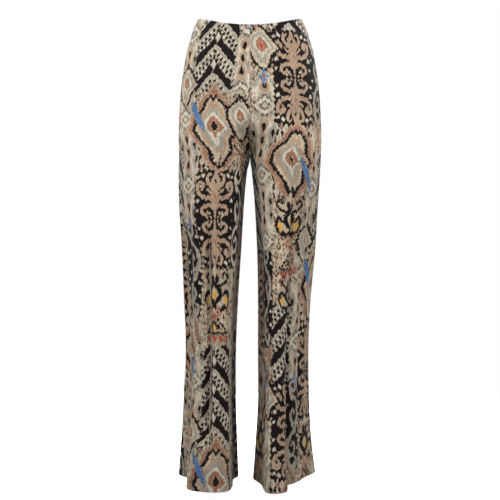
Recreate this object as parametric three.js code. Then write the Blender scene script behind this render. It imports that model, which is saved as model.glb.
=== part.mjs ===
// Palazzo pants, hollow and upright as they hang when worn: two fronts and two backs, joined down the sides, the
// inside legs and the centre. The waist is turned in over its elastic and the hems are turned up.
// Units are millimetres. +Z is up, -Y is the front and +X is the wearer's left.
// The origin is the centre of the waist opening, level with the waist at the sides.
import * as THREE from "three";

// Cloth and seams
const CLOTH = 1.5;
const TURNED_CLOTH = 2.9;
const SEAM_GAP = 0.3;
const CASING_DEPTH = 34;
const HEM_DEPTH = 25;
const TURN_STEP = 1.5;

// Lengths down the body
const RISE = 318;
const OUTSEAM = 1058;
const FRONT_DIP = 27;
const BACK_LIFT = 8;
const DIP_ENDS = 130;
const LEGS_PART = 200;
const CROTCH_CURVE = 2.4;
const TORSO_SQUARENESS = 0.94;

// Hips and waist: the half width and the depths to the front and the back, at each height.
const TORSO = [
  { z: 8, half: 117, front: 84, back: 82 },
  { z: 0, half: 120, front: 85, back: 83 },
  { z: -22, half: 130, front: 88, back: 88 },
  { z: -45, half: 137, front: 91, back: 94 },
  { z: -73, half: 145, front: 94, back: 101 },
  { z: -100, half: 150, front: 97, back: 107 },
  { z: -155, half: 158, front: 102, back: 118 },
  { z: -211, half: 162, front: 104, back: 122 },
  { z: -266, half: 164, front: 103, back: 119 },
  { z: -318, half: 163, front: 102, back: 114 },
];

// Each leg: the inner and outer reach from the middle of the body, the depths, and how far the section has gone from
// an oval to the lobed shape of its hem.
const RIGHT_LEG = [
  { z: -200, inner: 0, outer: 163, front: 104, back: 120, lobed: 0 },
  { z: -318, inner: 0, outer: 163, front: 102, back: 114, lobed: 0.05 },
  { z: -345, inner: 6, outer: 164, front: 101, back: 111, lobed: 0.08 },
  { z: -415, inner: 13, outer: 164, front: 99, back: 106, lobed: 0.18 },
  { z: -530, inner: 20, outer: 158, front: 96, back: 101, lobed: 0.38 },
  { z: -640, inner: 27, outer: 154, front: 94, back: 98, lobed: 0.55 },
  { z: -760, inner: 32, outer: 150, front: 95, back: 100, lobed: 0.7 },
  { z: -875, inner: 32, outer: 156, front: 101, back: 107, lobed: 0.82 },
  { z: -975, inner: 29, outer: 162, front: 111, back: 119, lobed: 0.93 },
  { z: -1058, inner: 26, outer: 169, front: 120, back: 130, lobed: 1 },
];
const LEFT_LEG = [
  { z: -200, inner: 0, outer: 163, front: 104, back: 120, lobed: 0 },
  { z: -318, inner: 0, outer: 163, front: 102, back: 114, lobed: 0.05 },
  { z: -345, inner: 3.5, outer: 162, front: 101, back: 111, lobed: 0.1 },
  { z: -415, inner: 10, outer: 158, front: 99, back: 106, lobed: 0.25 },
  { z: -530, inner: 16, outer: 152, front: 96, back: 101, lobed: 0.5 },
  { z: -640, inner: 18, outer: 142, front: 95, back: 98, lobed: 0.66 },
  { z: -760, inner: 18, outer: 137, front: 97, back: 100, lobed: 0.76 },
  { z: -875, inner: 18, outer: 139, front: 103, back: 107, lobed: 0.85 },
  { z: -975, inner: 12, outer: 145, front: 114, back: 119, lobed: 0.94 },
  { z: -1058, inner: 6, outer: 155, front: 128, back: 130, lobed: 1 },
];

// Stations around a section, from the inside leg by the front, the side seam and the back to the inside leg again.
// hip and thigh are the station's angles, in degrees, on the hips' half oval and on the thigh's oval. across and
// deep are its place on the hem, as shares of the leg's width and of its depth in front or behind.
const RIGHT_STATIONS = [
  { at: "inseam", hip: 0, thigh: 0, across: 0, deep: 0.31 },
  { at: "inner foot", hip: 5, thigh: 15, across: 0.085, deep: 0.04 },
  { at: "inner wall", hip: 11, thigh: 32, across: 0.093, deep: -0.5 },
  { at: "inner corner", hip: 18, thigh: 52, across: 0.155, deep: -0.9 },
  { at: "middle fold", hip: 27, thigh: 73, across: 0.33, deep: -1.02 },
  { at: "outer fold", hip: 37, thigh: 95, across: 0.49, deep: -1 },
  { at: "outer corner", hip: 51, thigh: 120, across: 0.76, deep: -0.82 },
  { at: "outer wall", hip: 63, thigh: 141, across: 0.82, deep: -0.42 },
  { at: "outer foot", hip: 74, thigh: 157, across: 0.825, deep: 0.12 },
  { at: "flank", hip: 83, thigh: 169, across: 0.93, deep: 0.33 },
  { at: "side seam", hip: 90, thigh: 180, across: 1, deep: 0.52 },
  { at: "back outer", hip: 107, thigh: 208, across: 0.94, deep: 0.8 },
  { at: "back hip", hip: 125, thigh: 238, across: 0.74, deep: 0.98 },
  { at: "back middle", hip: 142, thigh: 268, across: 0.5, deep: 0.94 },
  { at: "back seat", hip: 157, thigh: 298, across: 0.27, deep: 0.99 },
  { at: "back inner", hip: 170, thigh: 330, across: 0.06, deep: 0.74 },
  { at: "inseam again", hip: 180, thigh: 360, across: 0, deep: 0.31 },
];
const LEFT_STATIONS = [
  { at: "inseam", hip: 0, thigh: 0, across: 0, deep: 0.12 },
  { at: "inner foot", hip: 4, thigh: 13, across: 0.125, deep: -0.36 },
  { at: "inner wall", hip: 9, thigh: 28, across: 0.16, deep: -0.7 },
  { at: "inner corner", hip: 15, thigh: 45, across: 0.195, deep: -0.96 },
  { at: "front", hip: 22, thigh: 64, across: 0.32, deep: -1.05 },
  { at: "outer corner", hip: 29, thigh: 82, across: 0.47, deep: -0.95 },
  { at: "outer wall", hip: 34, thigh: 95, across: 0.525, deep: -0.72 },
  { at: "outer foot", hip: 38, thigh: 103, across: 0.52, deep: -0.42 },
  { at: "shoulder", hip: 53, thigh: 126, across: 0.68, deep: -0.16 },
  { at: "flank", hip: 72, thigh: 153, across: 0.84, deep: 0.27 },
  { at: "side seam", hip: 90, thigh: 180, across: 1, deep: 0.66 },
  { at: "back outer", hip: 107, thigh: 208, across: 0.95, deep: 0.85 },
  { at: "back hip", hip: 125, thigh: 238, across: 0.76, deep: 0.98 },
  { at: "back middle", hip: 142, thigh: 268, across: 0.52, deep: 0.93 },
  { at: "back seat", hip: 157, thigh: 298, across: 0.28, deep: 0.99 },
  { at: "back inner", hip: 170, thigh: 330, across: 0.05, deep: 0.66 },
  { at: "inseam again", hip: 180, thigh: 360, across: 0, deep: 0.12 },
];
const SIDE_SEAM = 10;

// Folds down the cloth: the station that each follows, the heights where it begins, is deepest from and to, and
// ends, its depth inwards (outwards if negative) and its half width.
const RIGHT_FOLDS = [
  { station: 4, top: -385, from: -470, to: -640, end: -800, depth: 9, width: 8 },
  { station: 5, top: -400, from: -560, to: -880, end: -1010, depth: 17, width: 9 },
  { station: 6.6, top: -300, from: -480, to: -800, end: -1000, depth: 5, width: 14 },
  { station: 9, top: -340, from: -450, to: -800, end: -1056, depth: 7, width: 9 },
  { station: 12, top: -420, from: -620, to: -940, end: -1120, depth: 11, width: 15 },
  { station: 14.3, top: -330, from: -480, to: -900, end: -1120, depth: 13, width: 14 },
];
const LEFT_FOLDS = [
  { station: 7, top: -385, from: -520, to: -860, end: -1056, depth: 9, width: 9 },
  { station: 8.7, top: -330, from: -500, to: -900, end: -1120, depth: 7, width: 12 },
  { station: 2.4, top: -520, from: -680, to: -940, end: -1080, depth: 5, width: 10 },
  { station: 12.2, top: -360, from: -520, to: -900, end: -1120, depth: 12, width: 15 },
  { station: 14, top: -480, from: -700, to: -980, end: -1140, depth: 10, width: 13 },
];

const RIGHT = { side: -1, sections: RIGHT_LEG, stations: RIGHT_STATIONS, folds: RIGHT_FOLDS };
const LEFT = { side: 1, sections: LEFT_LEG, stations: LEFT_STATIONS, folds: LEFT_FOLDS };

// Bands of rows from the waist down: the height that each ends at and how many rows it takes.
const ROW_BANDS = [
  { to: -CASING_DEPTH, rows: 2 },
  { to: -CASING_DEPTH - TURN_STEP, rows: 1 },
  { to: -250, rows: 6 },
  { to: -RISE, rows: 5 },
  { to: -380, rows: 3 },
  { to: -960, rows: 13 },
  { to: -OUTSEAM + HEM_DEPTH + TURN_STEP, rows: 2 },
  { to: -OUTSEAM + HEM_DEPTH, rows: 1 },
  { to: -OUTSEAM, rows: 1 },
];

// Columns between one station and the next, round the front and then the back.
const RIGHT_COLUMNS = [1, 2, 2, 4, 4, 4, 3, 2, 2, 2, 3, 3, 3, 3, 3, 3];
const LEFT_COLUMNS = [2, 2, 2, 2, 3, 3, 3, 3, 3, 2, 3, 3, 3, 3, 3, 3];

const SLOPE_STEP = 0.05;
const FRONT_COLOUR = 0x8f8471;
const BACK_COLOUR = 0x7d7365;

const mix = (a, b, share) => a + (b - a) * share;
const clamp01 = (v) => Math.min(1, Math.max(0, v));
const ease = (v) => clamp01(v) ** 2 * (3 - 2 * clamp01(v));
const radians = (degrees) => (degrees * Math.PI) / 180;

// A smooth curve through evenly spaced values, at a place counted in steps.
function through(values, place) {
  const last = values.length - 1;
  const i = Math.min(last - 1, Math.max(0, Math.floor(place)));
  const t = place - i;
  const before = i > 0 ? values[i - 1] : 2 * values[0] - values[1];
  const after = i + 2 <= last ? values[i + 2] : 2 * values[last] - values[last - 1];
  const [a, b] = [values[i], values[i + 1]];
  const cubic = 3 * (a - b) + after - before;
  const square = 2 * before - 5 * a + 4 * b - after;
  return a + 0.5 * t * (b - before + t * (square + t * cubic));
}

// A table's column at height z, smooth between its rows, which run downwards.
function atHeight(table, column, z) {
  const last = table.length - 1;
  const low = table.findIndex((row) => row.z <= z);
  if (low === 0) return table[0][column];
  if (low < 0) return table[last][column];
  const [a, b] = [table[low - 1], table[low]];
  const slope = (p, q) => (table[q][column] - table[p][column]) / (table[q].z - table[p].z);
  const step = b.z - a.z;
  const t = (z - a.z) / step;
  const slopeA = slope(Math.max(0, low - 2), low) * step;
  const slopeB = slope(low - 1, Math.min(last, low + 1)) * step;
  const t2 = t * t;
  const t3 = t2 * t;
  return (
    (2 * t3 - 3 * t2 + 1) * a[column] +
    (t3 - 2 * t2 + t) * slopeA +
    (3 * t2 - 2 * t3) * b[column] +
    (t3 - t2) * slopeB
  );
}

const stationValue = (leg, column, place) =>
  through(leg.stations.map((s) => s[column]), place);

const oval = (v) => Math.sign(v) * Math.abs(v) ** TORSO_SQUARENESS;

// How far the section has gone from one half of the hips to a leg of its own.
const parted = (z) => clamp01((-LEGS_PART - z) / (RISE - LEGS_PART)) ** CROTCH_CURVE;

function hipPoint(leg, z, place) {
  const angle = radians(stationValue(leg, "hip", place));
  const depth = atHeight(TORSO, Math.cos(angle) > 0 ? "front" : "back", z);
  return [
    atHeight(TORSO, "half", z) * oval(Math.sin(angle)),
    -depth * oval(Math.cos(angle)),
  ];
}

function legPoint(leg, z, place) {
  const angle = radians(stationValue(leg, "thigh", place));
  const lobed = atHeight(leg.sections, "lobed", z);
  const across = mix(0.5 - 0.5 * Math.cos(angle), stationValue(leg, "across", place), lobed);
  const deep = mix(-Math.sin(angle), stationValue(leg, "deep", place), lobed);
  const inner = atHeight(leg.sections, "inner", z);
  const outer = atHeight(leg.sections, "outer", z);
  const reach = atHeight(leg.sections, deep < 0 ? "front" : "back", z);
  return [mix(inner, outer, across), deep * reach];
}

// A section on its way from the hips to a leg of its own.
function partingPoint(leg, z, place) {
  const [hipX, hipY] = hipPoint(leg, z, place);
  const [legX, legY] = legPoint(leg, z, place);
  const share = parted(z);
  return [mix(hipX, legX, share), mix(hipY, legY, share)];
}

// How much the part-way sections are drawn out to the front and the back, to keep the depth in the tables.
const drawnOut = new Map();
function depthKept(leg, z) {
  const key = `${leg.side} ${z}`;
  if (!drawnOut.has(key)) {
    const reach = { front: 0, back: 0 };
    for (let place = 0; place <= leg.stations.length - 1; place += 0.25) {
      const y = partingPoint(leg, z, place)[1];
      reach.front = Math.max(reach.front, -y);
      reach.back = Math.max(reach.back, y);
    }
    const open = parted(z) > 0 && parted(z) < 1;
    const share = (side) => (open ? atHeight(TORSO, side, z) / reach[side] : 1);
    drawnOut.set(key, { front: share("front"), back: share("back") });
  }
  return drawnOut.get(key);
}

// The section before its folds, on the wearer's left whichever leg it is.
function smoothPoint(leg, z, place) {
  const [x, y] = partingPoint(leg, z, place);
  const kept = depthKept(leg, z);
  return [x, y * (y < 0 ? kept.front : kept.back)];
}

// The unit direction round the section. At the centre seam it turns from straight across the body, above the crotch,
// to the direction of the leg's own closed section, below it.
function heading(leg, z, place) {
  const last = leg.stations.length - 1;
  const closed = parted(z);
  const seam = place <= 0 || place >= last;
  const around = (p) => (seam ? (p + last) % last : Math.min(last, Math.max(0, p)));
  const [ax, ay] = smoothPoint(leg, z, around(place - SLOPE_STEP));
  const [bx, by] = smoothPoint(leg, z, around(place + SLOPE_STEP));
  let direction = new THREE.Vector2(bx - ax, by - ay).normalize();
  if (seam && closed < 1) {
    const level = new THREE.Vector2(place <= 0 ? 1 : -1, 0);
    direction = level.lerp(new THREE.Vector2(0, -1), closed ** 3).normalize();
  }
  return direction;
}

function foldDepth(fold, z) {
  const down = ease((fold.top - z) / (fold.top - fold.from));
  const out = 1 - ease((fold.to - z) / (fold.to - fold.end));
  return fold.depth * down * out;
}

// A point of the cloth's outside, moved in by its folds, and the direction from there into the garment.
function clothPoint(leg, z, place) {
  const [x, y] = smoothPoint(leg, z, place);
  const along = heading(leg, z, place);
  const inward = new THREE.Vector2(-along.y, along.x);
  let sunk = 0;
  for (const fold of leg.folds) {
    const [foldX, foldY] = smoothPoint(leg, z, fold.station);
    const away = Math.hypot(x - foldX, y - foldY) / fold.width;
    sunk += foldDepth(fold, z) * Math.exp(-away * away);
  }
  return { x: x + inward.x * sunk, y: y + inward.y * sunk, along };
}

// The cloth's outside, as a place and as the direction inwards, with the folds in both.
function surface(leg, z, place) {
  const here = clothPoint(leg, z, place);
  const last = leg.stations.length - 1;
  let along = here.along;
  if (place > 0 && place < last) {
    const a = clothPoint(leg, z, Math.max(0, place - SLOPE_STEP));
    const b = clothPoint(leg, z, Math.min(last, place + SLOPE_STEP));
    along = new THREE.Vector2(b.x - a.x, b.y - a.y).normalize();
  }
  return { x: here.x, y: here.y, along, inward: new THREE.Vector2(-along.y, along.x) };
}

// How far the waist edge lies above or below its sides: it dips at the front and rises at the back.
function waistShift(leg, z, place) {
  const angle = radians(stationValue(leg, "hip", place));
  const forward = Math.cos(angle);
  const shift = forward > 0 ? -FRONT_DIP * forward ** 2 : BACK_LIFT * forward ** 2;
  return shift * (1 - ease(-z / DIP_ENDS));
}

function rowHeights() {
  const heights = [0];
  for (const band of ROW_BANDS) {
    const start = heights[heights.length - 1];
    for (let i = 1; i <= band.rows; i += 1) heights.push(mix(start, band.to, i / band.rows));
  }
  return heights;
}

function columnPlaces(columns, first, last) {
  const places = [first];
  for (let station = first; station < last; station += 1)
    for (let i = 1; i <= columns[station]; i += 1)
      places.push(station + i / columns[station]);
  return places;
}

const isTurned = (z) => z >= -CASING_DEPTH || z <= -OUTSEAM + HEM_DEPTH;

// One cut piece: a wall of cloth between two seams, from the waist to the hem.
function panel(leg, columns, first, last) {
  const heights = rowHeights();
  const places = columnPlaces(columns, first, last);
  const [rows, width] = [heights.length, places.length];
  const positions = [];
  for (const layer of ["outside", "inside"])
    for (const z of heights)
      places.forEach((place, column) => {
        const at = surface(leg, z, place);
        const trim = column === 0 ? SEAM_GAP / 2 : column === width - 1 ? -SEAM_GAP / 2 : 0;
        const thick = layer === "inside" ? (isTurned(z) ? TURNED_CLOTH : CLOTH) : 0;
        const x = at.x + at.along.x * trim + at.inward.x * thick;
        const y = at.y + at.along.y * trim + at.inward.y * thick;
        positions.push(leg.side * Math.max(x, SEAM_GAP / 2), y, z + waistShift(leg, z, place));
      });
  const faces = [];
  const vertex = (layer, row, column) => (layer * rows + row) * width + column;
  const quad = (a, b, c, d) => {
    if (leg.side > 0) faces.push(a, b, c, a, c, d);
    else faces.push(a, c, b, a, d, c);
  };
  for (let r = 0; r < rows - 1; r += 1) {
    for (let c = 0; c < width - 1; c += 1) {
      quad(vertex(0, r, c), vertex(0, r + 1, c), vertex(0, r + 1, c + 1), vertex(0, r, c + 1));
      quad(vertex(1, r, c), vertex(1, r, c + 1), vertex(1, r + 1, c + 1), vertex(1, r + 1, c));
    }
    quad(vertex(0, r, 0), vertex(1, r, 0), vertex(1, r + 1, 0), vertex(0, r + 1, 0));
    const e = width - 1;
    quad(vertex(0, r, e), vertex(0, r + 1, e), vertex(1, r + 1, e), vertex(1, r, e));
  }
  for (let c = 0; c < width - 1; c += 1) {
    const e = rows - 1;
    quad(vertex(0, 0, c), vertex(0, 0, c + 1), vertex(1, 0, c + 1), vertex(1, 0, c));
    quad(vertex(0, e, c), vertex(1, e, c), vertex(1, e, c + 1), vertex(0, e, c + 1));
  }
  const geometry = new THREE.BufferGeometry();
  geometry.setAttribute("position", new THREE.Float32BufferAttribute(positions, 3));
  geometry.setIndex(faces);
  geometry.computeVertexNormals();
  return geometry;
}

const frontCloth = new THREE.MeshStandardMaterial({ color: FRONT_COLOUR, roughness: 0.85, metalness: 0 });
const backCloth = new THREE.MeshStandardMaterial({ color: BACK_COLOUR, roughness: 0.85, metalness: 0 });

const pants = new THREE.Group();
for (const [name, leg, columns] of [
  ["right", RIGHT, RIGHT_COLUMNS],
  ["left", LEFT, LEFT_COLUMNS],
]) {
  const last = leg.stations.length - 1;
  const front = new THREE.Mesh(panel(leg, columns, 0, SIDE_SEAM), frontCloth);
  front.name = `front_${name}`;
  const back = new THREE.Mesh(panel(leg, columns, SIDE_SEAM, last), backCloth);
  back.name = `back_${name}`;
  pants.add(front, back);
}

export default pants;
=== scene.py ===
# Palazzo pants in printed jersey, worn, with an elastic casing at the waist and turned hems
import math
from collections import namedtuple

import bmesh
import bpy
import numpy as np
from mathutils import Matrix, Vector


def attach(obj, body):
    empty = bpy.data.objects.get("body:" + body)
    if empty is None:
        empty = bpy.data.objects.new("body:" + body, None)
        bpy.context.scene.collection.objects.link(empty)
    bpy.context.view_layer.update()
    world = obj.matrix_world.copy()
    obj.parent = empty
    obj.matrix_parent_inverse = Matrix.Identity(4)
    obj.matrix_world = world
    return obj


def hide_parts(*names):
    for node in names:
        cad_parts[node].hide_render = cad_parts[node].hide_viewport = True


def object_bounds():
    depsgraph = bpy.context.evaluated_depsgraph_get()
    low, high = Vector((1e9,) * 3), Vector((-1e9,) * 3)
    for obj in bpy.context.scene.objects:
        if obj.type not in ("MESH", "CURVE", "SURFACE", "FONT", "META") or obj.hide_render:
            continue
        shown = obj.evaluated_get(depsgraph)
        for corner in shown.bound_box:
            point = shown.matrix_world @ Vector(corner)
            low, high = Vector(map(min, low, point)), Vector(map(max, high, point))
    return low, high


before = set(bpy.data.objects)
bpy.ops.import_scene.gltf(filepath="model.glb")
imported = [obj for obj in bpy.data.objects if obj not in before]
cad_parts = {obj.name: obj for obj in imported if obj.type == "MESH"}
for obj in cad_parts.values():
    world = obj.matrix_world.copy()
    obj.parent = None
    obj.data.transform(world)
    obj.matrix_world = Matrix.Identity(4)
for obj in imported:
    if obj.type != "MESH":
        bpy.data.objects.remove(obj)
CAD_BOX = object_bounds()

# Sizes in millimetres, as in the part's source
MM = 0.001
SEAM_GAP = 0.3
CASING_DEPTH, HEM_DEPTH = 34, 25
RISE, OUTSEAM = 318, 1058
FRONT_DIP, BACK_LIFT, DIP_ENDS = 27, 8, 130
LEGS_PART = 200
CROTCH_CURVE = 2.4
TORSO_SQUARENESS = 0.94
SLOPE_STEP = 0.05
TURN_RADIUS = 1.1  # half of the way from a turned layer to the face

TORSO = [  # height, half width, depth to the front, depth to the back
    (8, 117, 84, 82), (0, 120, 85, 83), (-22, 130, 88, 88), (-45, 137, 91, 94), (-73, 145, 94, 101),
    (-100, 150, 97, 107), (-155, 158, 102, 118), (-211, 162, 104, 122), (-266, 164, 103, 119),
    (-318, 163, 102, 114),
]
RIGHT_LEG = [  # height, inner reach, outer reach, front, back, lobed
    (-200, 0, 163, 104, 120, 0), (-318, 0, 163, 102, 114, 0.05), (-345, 6, 164, 101, 111, 0.08),
    (-415, 13, 164, 99, 106, 0.18), (-530, 20, 158, 96, 101, 0.38), (-640, 27, 154, 94, 98, 0.55),
    (-760, 32, 150, 95, 100, 0.7), (-875, 32, 156, 101, 107, 0.82), (-975, 29, 162, 111, 119, 0.93),
    (-1058, 26, 169, 120, 130, 1),
]
LEFT_LEG = [
    (-200, 0, 163, 104, 120, 0), (-318, 0, 163, 102, 114, 0.05), (-345, 3.5, 162, 101, 111, 0.1),
    (-415, 10, 158, 99, 106, 0.25), (-530, 16, 152, 96, 101, 0.5), (-640, 18, 142, 95, 98, 0.66),
    (-760, 18, 137, 97, 100, 0.76), (-875, 18, 139, 103, 107, 0.85), (-975, 12, 145, 114, 119, 0.94),
    (-1058, 6, 155, 128, 130, 1),
]
RIGHT_STATIONS = [  # hip angle, thigh angle, across, deep
    (0, 0, 0, 0.31), (5, 15, 0.085, 0.04), (11, 32, 0.093, -0.5), (18, 52, 0.155, -0.9),
    (27, 73, 0.33, -1.02), (37, 95, 0.49, -1), (51, 120, 0.76, -0.82), (63, 141, 0.82, -0.42),
    (74, 157, 0.825, 0.12), (83, 169, 0.93, 0.33), (90, 180, 1, 0.52), (107, 208, 0.94, 0.8),
    (125, 238, 0.74, 0.98), (142, 268, 0.5, 0.94), (157, 298, 0.27, 0.99), (170, 330, 0.06, 0.74),
    (180, 360, 0, 0.31),
]
LEFT_STATIONS = [
    (0, 0, 0, 0.12), (4, 13, 0.125, -0.36), (9, 28, 0.16, -0.7), (15, 45, 0.195, -0.96),
    (22, 64, 0.32, -1.05), (29, 82, 0.47, -0.95), (34, 95, 0.525, -0.72), (38, 103, 0.52, -0.42),
    (53, 126, 0.68, -0.16), (72, 153, 0.84, 0.27), (90, 180, 1, 0.66), (107, 208, 0.95, 0.85),
    (125, 238, 0.76, 0.98), (142, 268, 0.52, 0.93), (157, 298, 0.28, 0.99), (170, 330, 0.05, 0.66),
    (180, 360, 0, 0.12),
]
RIGHT_FOLDS = [  # station, top, deepest from, deepest to, end, depth, half width
    (4, -385, -470, -640, -800, 9, 8), (5, -400, -560, -880, -1010, 17, 9),
    (6.6, -300, -480, -800, -1000, 5, 14), (9, -340, -450, -800, -1056, 7, 9),
    (12, -420, -620, -940, -1120, 11, 15), (14.3, -330, -480, -900, -1120, 13, 14),
]
LEFT_FOLDS = [
    (7, -385, -520, -860, -1056, 9, 9), (8.7, -330, -500, -900, -1120, 7, 12),
    (2.4, -520, -680, -940, -1080, 5, 10), (12.2, -360, -520, -900, -1120, 12, 15),
    (14, -480, -700, -980, -1140, 10, 13),
]
# Shallow creases that only the visible cloth has, in the same columns as the folds
RIGHT_CREASES = [
    (2.6, -420, -520, -640, -760, 2.6, 9), (5.8, -560, -640, -760, -860, 2.4, 7),
    (3.2, -700, -820, -940, -1090, 3.0, 10), (7.6, -520, -640, -820, -960, 2.6, 9),
    (11, -480, -600, -760, -900, 2.8, 11), (13.2, -560, -700, -860, -1010, 2.6, 10),
    (15.2, -400, -520, -640, -760, 2.4, 9), (4.6, -905, -980, -1080, -1140, 2.6, 8),
    (5.05, -420, -560, -900, -1020, 5, 4.5),
]
LEFT_CREASES = [
    (5.4, -430, -520, -660, -800, 2.4, 9), (3.4, -600, -700, -860, -1000, 2.6, 8),
    (6.1, -700, -800, -980, -1100, 3.2, 9), (1.4, -640, -760, -900, -1040, 2.4, 8),
    (9.5, -500, -620, -780, -920, 2.4, 9), (11.2, -440, -560, -720, -860, 2.8, 10),
    (13.1, -600, -720, -900, -1060, 2.8, 10), (15, -420, -520, -700, -840, 2.4, 9),
    (7.05, -430, -560, -900, -1060, 6, 5),
]
# Drag lines, which run from one place on the cloth to another: across, up, across, up, depth, half width
FRONT_DRAGS = [
    (70, -300, 22, -262, 2.0, 6), (84, -322, 34, -300, 1.6, 5), (60, -352, 96, -330, 1.4, 5),
    (-96, -150, -58, -176, 1.1, 7), (-40, -560, 18, -588, 1.3, 8), (-84, -612, -30, -634, 1.0, 7),
    (20, -236, 74, -214, 1.0, 8),
]
BACK_DRAGS = [
    (-70, -318, -16, -276, 2.2, 7), (-84, -344, -30, -318, 1.8, 6), (-46, -290, 26, -246, 1.4, 8),
    (-58, -560, 4, -584, 1.5, 8), (-30, -612, 40, -596, 1.2, 8), (-64, -660, -6, -682, 1.1, 7),
]
RIGHT = dict(side=-1, sections=RIGHT_LEG, stations=RIGHT_STATIONS, folds=RIGHT_FOLDS + RIGHT_CREASES)
LEFT = dict(side=1, sections=LEFT_LEG, stations=LEFT_STATIONS, folds=LEFT_FOLDS + LEFT_CREASES)
Panel = namedtuple("Panel", "leg first last grain columns drags cut flat area")
PANELS = {  # stations of both edges and the grain, columns, drags, place in the print, flat size and area (m)
    "front_right": Panel(RIGHT, 0, 10, 4.6, 170, FRONT_DRAGS, (330, -600), (0.425, 1.12), 0.325),
    "front_left": Panel(LEFT, 0, 10, 4.0, 170, FRONT_DRAGS, (150, -250), (0.425, 1.12), 0.318),
    "back_right": Panel(RIGHT, 10, 16, 13.5, 110, BACK_DRAGS, (20, -200), (0.29, 1.12), 0.26),
    "back_left": Panel(LEFT, 10, 16, 13.5, 110, BACK_DRAGS, (260, -80), (0.29, 1.12), 0.26),
}
Laid = namedtuple("Laid", "x y up dx dy u across")  # a grid of points on the cloth

# The cloth's finer form, also in millimetres
CASING_ROWS, FACE_ROWS, HEM_ROWS, TURN_STEPS = 13, 404, 10, 7
REVERSE_ROWS, REVERSE_TUCK = 200, 12  # the wrong side's edges lie this far under the casing and the hem
SEAM_ROLL = ((1.6, SEAM_GAP / 2), (0.5, SEAM_GAP))  # per column from the edge: roll inwards, and draw back
FACE_LIFT, TURNED_PLAY = 0.4, 0.2  # the most that ripples lift the face, and move the layer turned in
WAIST_RIPPLE, SEAM_RIPPLE, SEAM_REACH = 0.45, 0.4, 7
RIPPLES_END, RIPPLES_FADE, DRAG_FADE = CASING_DEPTH + 22, 40, 60
WALES, COURSES = 1.6, 1.3
BLEED, INK_EDGE = 2.3, 0.7  # how far inks bleed at most, and half the width of their soft edge


# The cloth's form
def mix(a, b, share):
    return a + (b - a) * share


def ease(v):
    v = np.clip(v, 0, 1)
    return v * v * (3 - 2 * v)


def through(values, place):
    """A smooth run through values that stand at whole places."""
    values = np.asarray(values, float)
    ends = np.concatenate([[2 * values[0] - values[1]], values, [2 * values[-1] - values[-2]]])
    i = np.clip(np.floor(place).astype(int), 0, len(values) - 2)
    t = place - i
    before, a, b, after = ends[i], ends[i + 1], ends[i + 2], ends[i + 3]
    turn = 2 * before - 5 * a + 4 * b - after
    return a + 0.5 * t * (b - before + t * (turn + t * (3 * (a - b) + after - before)))


def at_height(table, column, z):
    """A column of a table of sections, read smoothly at a height."""
    heights = np.array([row[0] for row in table], float)
    values = np.array([row[column] for row in table], float)
    last = len(table) - 1
    low = np.clip(np.searchsorted(-heights, -z, side="left"), 1, last)
    before, after = np.maximum(0, low - 2), np.minimum(last, low + 1)
    step = heights[low] - heights[low - 1]
    t = np.clip((z - heights[low - 1]) / step, 0, 1)
    leaving = (values[low] - values[before]) / (heights[low] - heights[before]) * step
    arriving = (values[after] - values[low - 1]) / (heights[after] - heights[low - 1]) * step
    cubed, squared = t**3, t**2
    start = (2 * cubed - 3 * squared + 1) * values[low - 1] + (cubed - 2 * squared + t) * leaving
    return start + (3 * squared - 2 * cubed) * values[low] + (cubed - squared) * arriving


def station(leg, column, place):
    return through([row[column] for row in leg["stations"]], place)


def oval(v):
    return np.sign(v) * np.abs(v) ** TORSO_SQUARENESS


def parted(z):
    """How far the two legs have come apart at a height."""
    return np.clip((-LEGS_PART - z) / (RISE - LEGS_PART), 0, 1) ** CROTCH_CURVE


def parting_point(leg, z, place):
    hip = np.radians(station(leg, 0, place))
    depth = np.where(np.cos(hip) > 0, at_height(TORSO, 2, z), at_height(TORSO, 3, z))
    hip_x, hip_y = at_height(TORSO, 1, z) * oval(np.sin(hip)), -depth * oval(np.cos(hip))
    sections = leg["sections"]
    thigh, lobed = np.radians(station(leg, 1, place)), at_height(sections, 5, z)
    across = mix(0.5 - 0.5 * np.cos(thigh), station(leg, 2, place), lobed)
    deep = mix(-np.sin(thigh), station(leg, 3, place), lobed)
    reach = np.where(deep < 0, at_height(sections, 3, z), at_height(sections, 4, z))
    leg_x = mix(at_height(sections, 1, z), at_height(sections, 2, z), across)
    return mix(hip_x, leg_x, parted(z)), mix(hip_y, deep * reach, parted(z))


def smooth_point(leg, z, place):
    """The section before its folds, drawn out to the tables' depths where the legs part."""
    x, y = parting_point(leg, z, place)
    round_the_leg = np.arange(0, 16.01, 0.25)[None, :]
    probe = parting_point(leg, z, round_the_leg)[1]
    parting = (parted(z) > 0) & (parted(z) < 1)
    front = np.where(parting, at_height(TORSO, 2, z) / -probe.min(1, keepdims=True), 1)
    back = np.where(parting, at_height(TORSO, 3, z) / probe.max(1, keepdims=True), 1)
    return x, y * np.where(y < 0, front, back)


def heading(leg, z, place):
    """The direction that the section runs in, which crosses the middle squarely at a seam there."""
    last = len(leg["stations"]) - 1
    seam = (place <= 0) | (place >= last)

    def around(p):
        return np.where(seam, (p + last) % last, np.clip(p, 0, last))

    ax, ay = smooth_point(leg, z, around(place - SLOPE_STEP))
    bx, by = smooth_point(leg, z, around(place + SLOPE_STEP))
    size = np.hypot(bx - ax, by - ay)
    dx, dy = (bx - ax) / size, (by - ay) / size
    closed = parted(z)
    level_x = mix(np.where(place <= 0, 1.0, -1.0), 0, closed**3)
    level_y = mix(0, -1, closed**3)
    at_middle = seam & (closed < 1)
    dx, dy = np.where(at_middle, level_x, dx), np.where(at_middle, level_y, dy)
    size = np.hypot(dx, dy)
    return dx / size, dy / size


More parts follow.
